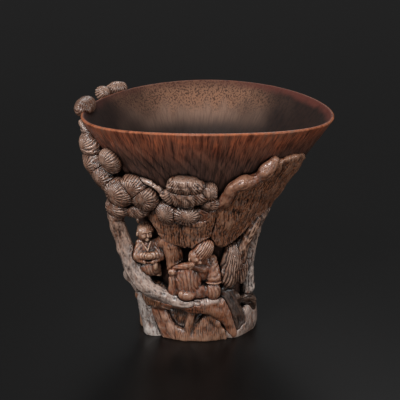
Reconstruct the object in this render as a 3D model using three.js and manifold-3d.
// Libation cup carved with scholars under pines, in millimetres with +Z up and the front towards -Y.
// The real cup is cut from a single horn. Each carved element is its own solid here, set on the vessel with a
// hairline gap, so that the wall, the foot, every trunk, needle pad, rock and figure can be told apart.
// Carved elements are placed in the wall's own coordinates: an angle round the cup (0 at the right, -90 at the
// front), a height above the foot, and a stand-off from the wall's outer surface.

import * as THREE from 'three';
import { mergeVertices } from 'three/addons/utils/BufferGeometryUtils.js';
import Module from 'manifold-3d';

const wasm = await Module();
wasm.setup();

// Vessel
const RIM_HEIGHT = 130;
const RIM_DIP = 5;
const RIM_HALF_WIDTH = 75.4;
const RIM_HALF_DEPTH = 60;
const RIM_SHIFT = 5.5;
const CORE_HALF_WIDTH = 30;
const CORE_HALF_DEPTH = 29;
const FLARE_START = 62;
const FLARE_BLEND = 10;
const LIP_THICKNESS = 2.4;
const WALL_THICKNESS = 6.5;
const BOWL_FLOOR = 58;
const BOWL_FULLNESS = 3;
const BOWL_FLOOR_SPREAD = 0.1;

// Foot and the ledge that the scholar sits on
const FOOT_HEIGHT = 20;
const FOOT_INSET = 0.5;
const FOOT_RIPPLE = 0.4;
const FOOT_RIPPLE_COUNT = 7;
const LEDGE_TOP = 25;
const LEDGE_UNDERSIDE = 18.6;

// Spacing between neighbouring solids, and between a rock's back and the wall's true curve
const GAP = 0.3;
const ROCK_SEAT = 0.6;

// Facet counts
const WALL_SIDES = 40;
const FOOT_SIDES = 32;
const PAD_SIDES = 10;
const PAD_RINGS = 7;
const FIGURE_SIDES = 8;
const FIGURE_RINGS = 6;
const TUBE_SIDES = 7;
const CURL_STEPS = 14;
const RECESS_SIDES = 14;
const RECESS_RINGS = 8;

const HORN = {
  wall: new THREE.MeshStandardMaterial({ color: 0x5a2c17, roughness: 0.38, metalness: 0 }),
  rock: new THREE.MeshStandardMaterial({ color: 0x6b4530, roughness: 0.5, metalness: 0 }),
  bark: new THREE.MeshStandardMaterial({ color: 0x7a5a45, roughness: 0.5, metalness: 0 }),
  needles: new THREE.MeshStandardMaterial({ color: 0x7d6253, roughness: 0.5, metalness: 0 }),
  figure: new THREE.MeshStandardMaterial({ color: 0x7b4a30, roughness: 0.45, metalness: 0 }),
};

const radians = THREE.MathUtils.degToRad;

// Wall surface

function flareShare(z) {
  const spread = (height) => FLARE_BLEND * Math.log1p(Math.exp((height - FLARE_START) / FLARE_BLEND));
  return spread(z) / spread(RIM_HEIGHT);
}

// A point of the outer wall grown outwards by grow, at an angle in radians and a height.
function wallPoint(angle, z, grow = 0) {
  const share = flareShare(z);
  const halfWidth = CORE_HALF_WIDTH + (RIM_HALF_WIDTH - CORE_HALF_WIDTH) * share + grow;
  const halfDepth = CORE_HALF_DEPTH + (RIM_HALF_DEPTH - CORE_HALF_DEPTH) * share + grow;
  return new THREE.Vector3(RIM_SHIFT * share + halfWidth * Math.cos(angle), halfDepth * Math.sin(angle), z);
}

function rimHeight(angle) {
  return RIM_HEIGHT - RIM_DIP * Math.cos(angle) ** 2;
}

// The frame at a spot of the wall: X runs along the wall to the right as seen from outside, Y points into the wall
// and Z runs up the slope. upright keeps Z vertical, as a standing figure needs. tilt turns it about the normal.
function onWall({ angle, height, stand = 0, tilt = 0, upright = false }) {
  const theta = radians(angle);
  const step = 0.01;
  const spot = wallPoint(theta, height);
  const along = wallPoint(theta + step, height).sub(wallPoint(theta - step, height)).normalize();
  const up = upright
    ? new THREE.Vector3(0, 0, 1)
    : wallPoint(theta, height + step).sub(wallPoint(theta, height - step)).normalize();
  const inward = new THREE.Vector3().crossVectors(up, along).normalize();
  spot.addScaledVector(inward, -stand);
  const turn = new THREE.Matrix4().makeRotationY(-radians(tilt));
  return new THREE.Matrix4().makeBasis(along, inward, up).setPosition(spot).multiply(turn);
}

// Solids

function solid(geometry) {
  const bare = geometry.index ? geometry.toNonIndexed() : geometry.clone();
  bare.deleteAttribute('normal');
  bare.deleteAttribute('uv');
  const merged = mergeVertices(bare, 1e-4);
  return new wasm.Manifold(
    new wasm.Mesh({
      numProp: 3,
      vertProperties: new Float32Array(merged.attributes.position.array),
      triVerts: new Uint32Array(merged.index.array),
    }),
  );
}

function union(solids) {
  return solids.reduce((whole, next) => whole.add(next));
}

// The largest connected body of a solid, which drops the slivers that a cut can leave.
function largestBody(whole) {
  const bodies = whole.decompose();
  return bodies.reduce((best, next) => (next.volume() > best.volume() ? next : best));
}

// A closed solid through rings of points, each ring with the same number of points and closed by a flat cap.
function loft(rings) {
  const sides = rings[0].length;
  const positions = rings.flat().flatMap((p) => [p.x, p.y, p.z]);
  const centre = (ring) => ring.reduce((sum, p) => sum.add(p), new THREE.Vector3()).divideScalar(sides);
  const index = [];
  rings.slice(1).forEach((_, level) => {
    for (let side = 0; side < sides; side += 1) {
      const a = level * sides + side;
      const b = level * sides + ((side + 1) % sides);
      index.push(a, b, b + sides, a, b + sides, a + sides);
    }
  });
  const firstCap = positions.length / 3;
  [rings[0], rings[rings.length - 1]].forEach((ring) => positions.push(...centre(ring).toArray()));
  const lastRing = (rings.length - 1) * sides;
  for (let side = 0; side < sides; side += 1) {
    const next = (side + 1) % sides;
    index.push(firstCap, next, side);
    index.push(firstCap + 1, lastRing + side, lastRing + next);
  }
  const geometry = new THREE.BufferGeometry();
  geometry.setAttribute('position', new THREE.Float32BufferAttribute(positions, 3));
  geometry.setIndex(facesOut(positions, index) ? index : index.reverse());
  return solid(geometry);
}

// True if the triangles enclose a positive volume, so that they face out.
function facesOut(positions, index) {
  const corner = (vertex) => new THREE.Vector3().fromArray(positions, 3 * vertex);
  let volume = 0;
  for (let face = 0; face < index.length; face += 3) {
    const [a, b, c] = [corner(index[face]), corner(index[face + 1]), corner(index[face + 2])];
    volume += a.dot(b.cross(c));
  }
  return volume > 0;
}

function ellipsoid(frame, halfSizes, grow = 0, sides = PAD_SIDES, rings = PAD_RINGS) {
  const size = halfSizes.map((half) => half + grow);
  const geometry = new THREE.SphereGeometry(1, sides, rings).scale(...size).applyMatrix4(frame);
  return solid(geometry);
}

// A tube that changes its radius, through stations of {point, radius}.
function taperedTube(stations, grow = 0, steps = 9) {
  const curve = new THREE.CatmullRomCurve3(stations.map((station) => station.point));
  const radii = stations.map((station) => station.radius + grow);
  const frames = curve.computeFrenetFrames(steps);
  const rings = [];
  for (let step = 0; step <= steps; step += 1) {
    const share = (step / steps) * (radii.length - 1);
    const low = Math.min(Math.floor(share), radii.length - 2);
    const radius = THREE.MathUtils.lerp(radii[low], radii[low + 1], share - low);
    const centre = curve.getPoint(step / steps);
    const ring = [];
    for (let side = 0; side < TUBE_SIDES; side += 1) {
      const turn = (2 * Math.PI * side) / TUBE_SIDES;
      const spoke = frames.normals[step].clone().multiplyScalar(Math.cos(turn) * radius);
      spoke.addScaledVector(frames.binormals[step], Math.sin(turn) * radius);
      ring.push(spoke.add(centre));
    }
    rings.push(ring);
  }
  return loft(rings);
}

// Vessel solids

const OUTER_LEVELS = [0, 0.26, 0.36, 0.44, 0.52, 0.62, 0.74, 0.87, 1];
const BOWL_LEVELS = [1, 0.86, 0.7, 0.54, 0.38, 0.24, 0.12, 0.04, 0];

function ringAt(sides, place) {
  return Array.from({ length: sides }, (_, side) => place((2 * Math.PI * side) / sides));
}

// A ring of the cup's outside, grown outwards, from the core's seat on the foot at 0 to the lip at 1.
function outerRing(share, grow) {
  return ringAt(WALL_SIDES, (angle) => {
    const z = THREE.MathUtils.lerp(FOOT_HEIGHT + GAP - grow, rimHeight(angle) + grow, share);
    return wallPoint(angle, z, grow);
  });
}

// A ring of the bowl, from its floor at 0 to the lip at 1. It follows the wall at the lip and rounds in to its floor,
// and it shrinks as the wall around it is grown.
function bowlRing(share, grow) {
  const rounding = Math.max(Math.sqrt(1 - (1 - share) ** BOWL_FULLNESS), BOWL_FLOOR_SPREAD);
  const thickness = THREE.MathUtils.lerp(WALL_THICKNESS, LIP_THICKNESS, share ** 1.5);
  return ringAt(WALL_SIDES, (angle) => {
    const z = THREE.MathUtils.lerp(BOWL_FLOOR, rimHeight(angle), share) + grow;
    const point = wallPoint(angle, z, -thickness - grow);
    const axis = RIM_SHIFT * flareShare(z);
    point.x = axis + (point.x - axis) * rounding;
    point.y *= rounding;
    return point;
  });
}

// Recesses in the core: the scholar's grotto, the slot beside it, and the opening behind the attendant.
const RECESSES = [
  { spot: { angle: -95, height: FOOT_HEIGHT + 24, upright: true }, halfSizes: [18, 8, 20] },
  { spot: { angle: -69, height: FOOT_HEIGHT + 24, upright: true }, halfSizes: [3.6, 7, 22] },
  { spot: { angle: 180, height: FOOT_HEIGHT + 17, stand: 4, tilt: 17, upright: true }, halfSizes: [90, 19, 15] },
];

function recesses(grow) {
  return union(RECESSES.map(({ spot, halfSizes }) => ellipsoid(onWall(spot), halfSizes, grow, RECESS_SIDES, RECESS_RINGS)));
}

// The wall and core of the cup, grown outwards by grow.
function vessel(grow) {
  const outside = OUTER_LEVELS.map((share) => outerRing(share, grow));
  const bowl = BOWL_LEVELS.map((share) => bowlRing(share, grow));
  return loft([...outside, ...bowl]).subtract(recesses(-grow));
}

// The drum inside the foot's rockwork, which the core stands on.
function foot(grow) {
  const levels = [0, 0.35, 0.7, 1];
  return loft(
    levels.map((share) =>
      ringAt(FOOT_SIDES, (angle) => {
        const ripple = FOOT_RIPPLE * Math.sin(FOOT_RIPPLE_COUNT * angle);
        const point = wallPoint(angle, FOOT_HEIGHT * share, ripple - FOOT_INSET + grow);
        point.z += grow * (2 * share - 1);
        return point;
      }),
    ),
  );
}

// The space under the resting face, which cuts every carved element flat.
function ground() {
  const reach = 2 * RIM_HALF_WIDTH;
  return solid(new THREE.BoxGeometry(reach, reach, FOOT_HEIGHT).translate(0, 0, -FOOT_HEIGHT / 2));
}

// Kinds of carved element: each is a function of how far it is grown

function pad(spot, halfSizes) {
  return (grow) => ellipsoid(onWall(spot), halfSizes, grow);
}

// Several ellipsoids as one solid, each placed in the frame of the group's spot and leaned about its X and Y axes.
function cluster(spot, parts) {
  return (grow) => {
    const frame = onWall({ upright: true, ...spot });
    return union(
      parts.map(([place, halfSizes, leanX = 0, leanY = 0]) => {
        const lean = new THREE.Euler(radians(leanX), radians(leanY), 0);
        const local = new THREE.Matrix4().makeRotationFromEuler(lean).setPosition(...place);
        return ellipsoid(frame.clone().multiply(local), halfSizes, grow, FIGURE_SIDES, FIGURE_RINGS);
      }),
    );
  };
}

// A limb through stations of [angle, height, stand, radius].
function limb(stations, steps = 2 * stations.length) {
  return (grow) => {
    const placed = stations.map(([angle, height, stand, radius]) => ({
      point: new THREE.Vector3().setFromMatrixPosition(onWall({ angle, height, stand })),
      radius,
    }));
    return taperedTube(placed, grow, steps);
  };
}

// Rock that follows the wall: columns of [angle, low, high, depth], with its face swelling between its edges.
function rock(columns, rows = 4) {
  return (grow) =>
    loft(
      columns.map(([angle, low, high, depth]) => {
        const theta = radians(angle);
        const shares = Array.from({ length: rows + 1 }, (_, row) => row / rows);
        const heightAt = (share) => THREE.MathUtils.lerp(low - grow, high + grow, share);
        const front = shares.map((share) => {
          const swell = 0.5 + 0.5 * Math.sin(Math.PI * (0.25 + 0.6 * share));
          return wallPoint(theta, heightAt(share), depth * swell + grow);
        });
        const back = shares.reverse().map((share) => wallPoint(theta, heightAt(share), ROCK_SEAT - grow));
        return [...front, ...back];
      }),
    );
}

function joined(...shapes) {
  return (grow) => union(shapes.map((shape) => shape(grow)));
}

// A twig bent into a closed ring that lies on the wall.
function curl(spot, radius, thickness) {
  return (grow) => {
    const ring = new THREE.TorusGeometry(radius, thickness + grow, TUBE_SIDES, CURL_STEPS).rotateX(Math.PI / 2);
    return solid(ring.applyMatrix4(onWall(spot)));
  };
}

// Carved elements: each is cut by the vessel, the foot, the ground and the elements before it

const FIGURES = [
  ['attendant_figure', HORN.figure, cluster({ angle: -133, height: LEDGE_TOP + 6.5, stand: 6.6 }, [
    [[0.6, 0, 4], [3.4, 3, 6]],
    [[-1, 0, 11], [5.8, 4.2, 5.6]],
    [[-1.6, 0, 19.5], [6, 4.4, 7.2]],
    [[0.4, -3.4, 18], [5.6, 2.2, 2.6], 0, 10],
    [[5, -1.4, 21.6], [4.2, 2.2, 2.6], 0, -10],
    [[-4, -0.6, 30], [4.5, 4.5, 5]],
    [[-4.8, 0.4, 34], [3.2, 3.2, 2.4]],
  ])],
  ['scholar_figure', HORN.figure, cluster({ angle: -93, height: LEDGE_TOP + GAP, stand: 0.6 }, [
    [[-1.5, -1, 5], [11.5, 5, 5]],
    [[-4.5, -1.4, 12], [6.2, 4.6, 10.6]],
    [[-12, 0.4, 10.6], [2.8, 3.4, 9.4]],
    [[5.5, 0, 18.5], [7, 5, 8.6]],
    [[10, -1.6, 19.5], [3.8, 3.8, 8.4], 0, -4],
    [[10, -1.8, 6.6], [4.4, 4.2, 6.6]],
    [[-5, -4.8, 3.6], [4.2, 2.8, 2.8]],
    [[1.4, -1.2, 28.6], [4.8, 4.8, 5.4]],
    [[4.8, -0.4, 31.8], [4.6, 4.4, 7], 0, 24],
  ])],
];

const PINE_PADS = [
  // At the rim
  ['pad_rim_left', HORN.needles, pad({ angle: 166, height: RIM_HEIGHT - 4.6, stand: -0.4 }, [11.2, 4.2, 5.6])],
  ['pad_rim_back_1', HORN.needles, pad({ angle: 143.5, height: RIM_HEIGHT - 1.4, stand: 2.2 }, [4.4, 3.2, 3.8])],
  ['pad_rim_back_2', HORN.needles, pad({ angle: 134, height: RIM_HEIGHT - 0.8, stand: 2.2 }, [6.6, 3.2, 4])],
  // Left side, from the top down
  ['pad_left_1', HORN.needles, pad({ angle: -166, height: 112, stand: 3 }, [7.4, 5.8, 6.4])],
  ['pad_left_3', HORN.needles, pad({ angle: -146, height: 108, stand: 3 }, [7, 5.4, 7.6])],
  ['pad_left_2', HORN.needles, pad({ angle: -163, height: 104, stand: 6.6 }, [6.6, 5.8, 7])],
  ['pad_left_4', HORN.needles, pad({ angle: -155, height: 98, stand: 7.4 }, [7, 5.6, 6])],
  ['pad_left_5', HORN.needles, pad({ angle: -143.4, height: 92, stand: 8.4, tilt: 4 }, [8.6, 6.2, 6.4])],
  ['pad_left_7', HORN.needles, pad({ angle: -127.6, height: 89, stand: 5, tilt: 18 }, [7.4, 4.8, 5.8])],
  ['pad_left_6', HORN.needles, pad({ angle: -134.4, height: 93.4, stand: 3.6, tilt: 10 }, [8.2, 5.6, 7])],
  ['pad_left_9', HORN.needles, pad({ angle: -138, height: 80.8, stand: 5.4, tilt: 2 }, [7.6, 5.2, 3.2])],
  ['pad_left_8', HORN.needles, pad({ angle: -148, height: 84, stand: 11.4, tilt: -6 }, [6.8, 5.8, 4])],
  // Over the scholar, from the top down
  ['pad_front_1', HORN.needles, pad({ angle: -100.5, height: 99.4, stand: 3.4 }, [8.8, 4.6, 4.2])],
  ['pad_front_2', HORN.needles, pad({ angle: -87, height: 94.6, stand: 2.6 }, [3.6, 3.8, 4.4])],
  ['pad_front_3', HORN.needles, pad({ angle: -101, height: 92.6, stand: 4.4 }, [11.6, 4.8, 3.6])],
  ['pad_front_4', HORN.needles, pad({ angle: -85, height: 87.4, stand: 3.2 }, [4.2, 3.6, 2.8])],
  ['pad_front_5', HORN.needles, pad({ angle: -113, height: 81.4, stand: 4.8 }, [5, 4.8, 5.4])],
  ['pad_front_6', HORN.needles, pad({ angle: -101, height: 81, stand: 4.8 }, [6.6, 4.8, 4.2])],
];

const LIMBS = [
  // The free-standing pine at the left, with the root ridge that runs into the ledge
  ['pine_trunk_left', HORN.bark, limb([
    [-149.5, 83.5, 13, 3.6], [-150, 75.5, 15.4, 3.7], [-150, 63, 16.6, 3.6], [-147.8, 52.5, 15.4, 4.4],
    [-145.8, 43.5, 13.6, 5.4], [-140.4, 36, 11.6, 4.8], [-132.6, 30, 9.4, 3.8], [-121, 27, 6.6, 2.8],
    [-110, 25.2, 6.2, 2], [-99, 24.3, 6.4, 1.5], [-88, 24, 6, 1],
  ], 22)],
  ['pine_root_outer', HORN.bark, limb([
    [-144, 26.6, 6.6, 3.6], [-145.6, 17.6, 5.6, 4], [-146.6, 8, 2.6, 4.8], [-143, -1, 1.6, 5],
  ], 7)],
  ['pine_root_inner', HORN.bark, joined(
    limb([[-137, 23, 4.6, 2.6], [-133, 13, 2.4, 2.8], [-127.5, 5, 1.4, 3.2], [-124, -2, 1, 3.4]], 6),
    limb([[-131, 21, 3, 2.2], [-124.5, 12, 1.8, 2.4], [-119, 4, 1.2, 3], [-117, -2, 1, 3.2]], 6),
  )],
  ['pine_twig_rim', HORN.bark, limb([
    [-173, 123, 0.2, 1.8], [-169, 119, 0.6, 2], [-166, 114, 1, 2.2],
  ], 4)],
  ['pine_branch_front', HORN.bark, limb([
    [-139, 98, 2, 1.8], [-130, 98.6, 2, 1.5], [-122, 97.6, 2.2, 1.4], [-115.6, 94, 2.8, 1.4], [-113, 87, 3.4, 1.4],
  ])],
  ['twig_curl_front', HORN.bark, curl({ angle: -91, height: 80.4, stand: 4.2 }, 3.2, 1.4)],
  ['gnarled_branch_right', HORN.bark, limb([
    [-82, 86, 2.4, 2], [-78, 87.4, 3.4, 2.6], [-75, 91, 4, 2.8], [-74, 98, 4.4, 3], [-69.5, 101, 4.6, 3.8],
    [-64, 101, 4, 2.8], [-60.6, 103, 3.4, 2.6], [-58.6, 107, 4, 3.6], [-56, 110.8, 3, 2.8], [-54.2, 113.4, 2, 1.8],
  ], 20)],
  ['cypress_trunk_front', HORN.bark, limb([
    [-42, 73.6, 2.4, 2.4], [-44.6, 66, 3.4, 2.8], [-47.2, 58, 3.4, 2.7], [-47.6, 50, 3.2, 2.4],
    [-45, 40, 3, 2.6], [-43, 31, 2.6, 2.8], [-39, 23, 2.4, 3.2],
  ])],
  ['cypress_trunk_rear', HORN.bark, limb([
    [-32, 76, 0.8, 2.2], [-33.6, 66, 2, 2.3], [-34.6, 57, 2.8, 2.2], [-34.4, 46, 2.6, 2.3],
    [-33, 36, 2.2, 2.6], [-30, 26, 2.2, 3.2],
  ])],
  ['cypress_roots_right', HORN.bark, joined(
    limb([[-66, 31, 0.6, 2.2], [-60, 23, 1.4, 2.3], [-53, 14.6, 1.8, 2.4], [-48, 5, 1.6, 2.6]], 6),
    limb([[-56, 32, 0.4, 2.2], [-53, 23, 1, 2.4], [-46, 15, 1.6, 2.6], [-41, 7, 1.4, 2.8]], 6),
    limb([[-50, 24.4, 0.7, 2.6], [-41, 22.6, 0.9, 2.8], [-32, 21, 1.7, 3.2], [-25, 18.6, 1.9, 4], [-23, 13, 1.4, 3.2]], 8),
  )],
  ['rock_arch_front', HORN.rock, limb([
    [-131.6, 55, 1.6, 2], [-126, 58.6, 1.6, 2], [-120, 60.2, 2, 2.4], [-115.4, 56.6, 2.2, 3.1],
    [-113.4, 50, 1.8, 3.2], [-112.6, 42, 1, 2.6],
  ])],
];

const CYPRESS_SPRAYS = [
  ['cypress_spray_right', HORN.needles, cluster({ angle: -55, height: 45.5, stand: 1.6 }, [
    [[0, 0, 0], [6.2, 4, 12.6], 0, 3],
    [[-2.4, -0.6, -5], [4.6, 3.6, 8], 0, 8],
    [[5.2, -0.4, -2.6], [3, 3, 10], 0, -2],
  ])],
];

const ROCKS = [
  ['rock_ledge_front', HORN.rock, rock([
    [-146, 20.4, 27, 6], [-138, 20.6, 26.4, 6.6], [-128, 20.8, 25.6, 6.4], [-116, 21.2, LEDGE_TOP, 6.6],
    [-106, 21, LEDGE_TOP, 6.6], [-98, LEDGE_UNDERSIDE, LEDGE_TOP, 6.8], [-90, LEDGE_UNDERSIDE, LEDGE_TOP, 6.8],
    [-80, LEDGE_UNDERSIDE, LEDGE_TOP, 6.4], [-72, 15, LEDGE_TOP, 5.6], [-66, 12, 24, 4.4], [-60, 7, 18.4, 3.6],
    [-54, 2, 11, 3], [-49, 1, 6, 2],
  ], 3)],
  ['rock_canopy_front', HORN.rock, rock([
    [-131, 72, 78, 2], [-125, 67, 79, 4], [-118, 62.6, 79, 5.4], [-108, 60.4, 79, 6], [-98, 59.6, 79, 6],
    [-90, 60.6, 80, 5.6], [-84, 65, 82, 4.6], [-78, 69, 82, 2.4],
  ])],
  ['rock_face_right', HORN.rock, rock([
    [-84, 67, 80, 2.4], [-79, 62, 87, 4.4], [-73, 59, 92, 5], [-67, 57.6, 98, 5], [-61, 60.6, 101, 5],
    [-55, 64.6, 106.4, 4.8], [-49, 71, 110, 4.2], [-41, 75, 110.6, 3.2], [-31, 76, 109, 2.2], [-20, 76.5, 105, 1.5],
    [-9, 79, 99, 0.8],
  ], 5)],
  ['rock_step_left', HORN.rock, rock([
    [-172, FOOT_HEIGHT, 29, 4], [-160, FOOT_HEIGHT, 32, 8], [-148, FOOT_HEIGHT, 32.6, 10],
    [-136, FOOT_HEIGHT, 32.6, 10], [-126, FOOT_HEIGHT, 30.6, 7], [-118, FOOT_HEIGHT, 28, 4],
  ], 3)],
  ['rock_screen_left', HORN.rock, limb([
    [172, 20, -5.6, 6], [170, 34, -5, 5.6], [168, 48, -4.4, 5.6], [167, 61, -3.6, 6],
  ], 7)],
  ['rock_dome_front', HORN.rock, joined(
    rock([[-96, 0, 3, 2], [-92, 0, 8, 2.6], [-87, 0, 13, 3.2], [-81, 0, 15.6, 3.6], [-75, 0, 13.4, 3.4],
      [-69, 0, 8, 3], [-64, 0, 4, 2]], 3),
    limb([[-96, 19, 2, 1.6], [-98.6, 12, 2.2, 1.6], [-102, 5, 2, 1.9], [-105, -2, 1.4, 2.4]], 6),
    rock([[-128, 0, 5, 1.6], [-118, 0, 8, 2.6], [-108, 0, 6.4, 3], [-100, 0, 4.4, 2.8], [-94, 0, 4, 2.4]], 3),
  )],
  ['rock_corner_right', HORN.rock, rock([
    [-59, 0, 4, 1.8], [-51, 0, 8.6, 2.9], [-43, 0, 12.4, 3.7], [-33, 0, 15.4, 4.1], [-22, 0, 16.6, 4],
    [-11, 0, 15.6, 3.5], [0, 0, 14, 3], [11, 0, 10, 2.2],
  ], 3)],
];

// The back, which carries a second pine on a cliff above water-worn rocks
const BACK = [
  ['pad_back_1', HORN.needles, pad({ angle: 152, height: 110, stand: 2.4, tilt: -6 }, [12, 5.6, 8.4])],
  ['pad_back_2', HORN.needles, pad({ angle: 130, height: 109, stand: 2.4, tilt: 8 }, [12, 5.6, 8])],
  ['pad_back_3', HORN.needles, pad({ angle: 158, height: 96, stand: 3.6 }, [10, 6, 8])],
  ['pad_back_4', HORN.needles, pad({ angle: 106, height: 98, stand: 2.6, tilt: -8 }, [12.6, 5.4, 7.4])],
  ['pad_back_5', HORN.needles, pad({ angle: 85, height: 94, stand: 2.4, tilt: -10 }, [11, 5, 7])],
  ['pad_back_6', HORN.needles, pad({ angle: 100, height: 85, stand: 3.6, tilt: -4 }, [12, 5.6, 6.8])],
  ['pad_back_7', HORN.needles, pad({ angle: 147, height: 82, stand: 4.4, tilt: 4 }, [11, 6, 6.8])],
  ['pine_trunk_back', HORN.bark, limb([
    [124, 18, 2, 5], [121, 30, 2.4, 4.4], [127, 43, 2.8, 4], [132, 54, 3, 3.8], [127, 67, 3.4, 3.6],
    [121, 80, 3.4, 3.4], [126, 93, 3, 3], [134, 104, 2.4, 2.4],
  ], 18)],
  ['pine_branch_back', HORN.bark, limb([
    [119, 72, 3, 2.6], [110, 76, 3, 2.4], [98, 75, 3, 2.2], [88, 80, 2.6, 2.2], [80, 87, 2, 1.8],
  ])],
  ['rock_cliff_back', HORN.rock, rock([
    [-2, 70, 86, 1.4], [8, 64, 94, 3], [20, 58, 98, 4.4], [32, 55, 97, 5], [44, 57, 92, 5], [55, 62, 86, 4.4],
    [66, 66, 80, 3], [74, 69, 76, 1.6],
  ])],
  ['rock_peaks_back', HORN.rock, rock([
    [14, 20.6, 30, 2.4], [24, 20.6, 40, 4.4], [34, 20.6, 47, 5.4], [44, 20.6, 40, 5.6], [54, 20.6, 34, 5.4],
    [66, 20.6, 44, 5.6], [78, 20.6, 52, 5.6], [90, 20.6, 42, 5.2], [102, 20.6, 34, 4.6], [112, 20.6, 28, 3],
  ], 5)],
  ['rock_toes_back', HORN.rock, rock([
    [16, 0, 12, 2.4], [28, 0, 17, 3.6], [42, 0, 13, 3], [54, 0, 18, 3.8], [68, 0, 12, 3], [82, 0, 18, 4],
    [96, 0, 14, 3.2], [110, 0, 17, 3.8], [124, 0, 11, 3], [138, 0, 17, 3.8], [152, 0, 13, 3.2],
    [166, 0, 17, 3.8], [180, 0, 12, 3], [194, 0, 15, 3.4], [204, 0, 10, 2],
  ], 3)],
];

const ELEMENTS = [...FIGURES, ...PINE_PADS, ...CYPRESS_SPRAYS, ...LIMBS, ...ROCKS, ...BACK];

// Assembly

// A named mesh whose geometry is held about its own centre and placed by its position.
function meshOf(name, material, body) {
  const { numProp, numVert, vertProperties, triVerts } = body.getMesh();
  const positions = new Float32Array(numVert * 3);
  for (let vertex = 0; vertex < numVert; vertex += 1) {
    positions.set(vertProperties.subarray(vertex * numProp, vertex * numProp + 3), vertex * 3);
  }
  const geometry = new THREE.BufferGeometry();
  geometry.setAttribute('position', new THREE.BufferAttribute(positions, 3));
  geometry.setIndex(new THREE.BufferAttribute(new Uint32Array(triVerts), 1));
  geometry.computeBoundingBox();
  const centre = geometry.boundingBox.getCenter(new THREE.Vector3());
  geometry.translate(-centre.x, -centre.y, -centre.z);
  geometry.computeVertexNormals();
  const mesh = new THREE.Mesh(geometry, material);
  mesh.name = name;
  mesh.position.copy(centre);
  return mesh;
}

function boundsOf(body) {
  const { min, max } = body.boundingBox();
  return new THREE.Box3(new THREE.Vector3(...min), new THREE.Vector3(...max));
}

const cup = new THREE.Group();
const footBody = largestBody(foot(0));
const vesselBody = largestBody(vessel(0));
cup.add(meshOf('foot_core', HORN.rock, footBody));
cup.add(meshOf('cup_wall', HORN.wall, vesselBody));

const carving = new THREE.Group();
const cutters = [ground(), foot(GAP), vessel(GAP)].map((body) => ({ body, bounds: boundsOf(body) }));
for (const [name, material, shape] of ELEMENTS) {
  const whole = shape(0);
  const bounds = boundsOf(whole);
  const near = cutters.filter((cutter) => cutter.bounds.intersectsBox(bounds));
  const body = largestBody(near.reduce((left, cutter) => left.subtract(cutter.body), whole));
  carving.add(meshOf(name, material, body));
  const grown = shape(GAP);
  cutters.push({ body: grown, bounds: boundsOf(grown) });
}
cup.add(carving);

export default cup;
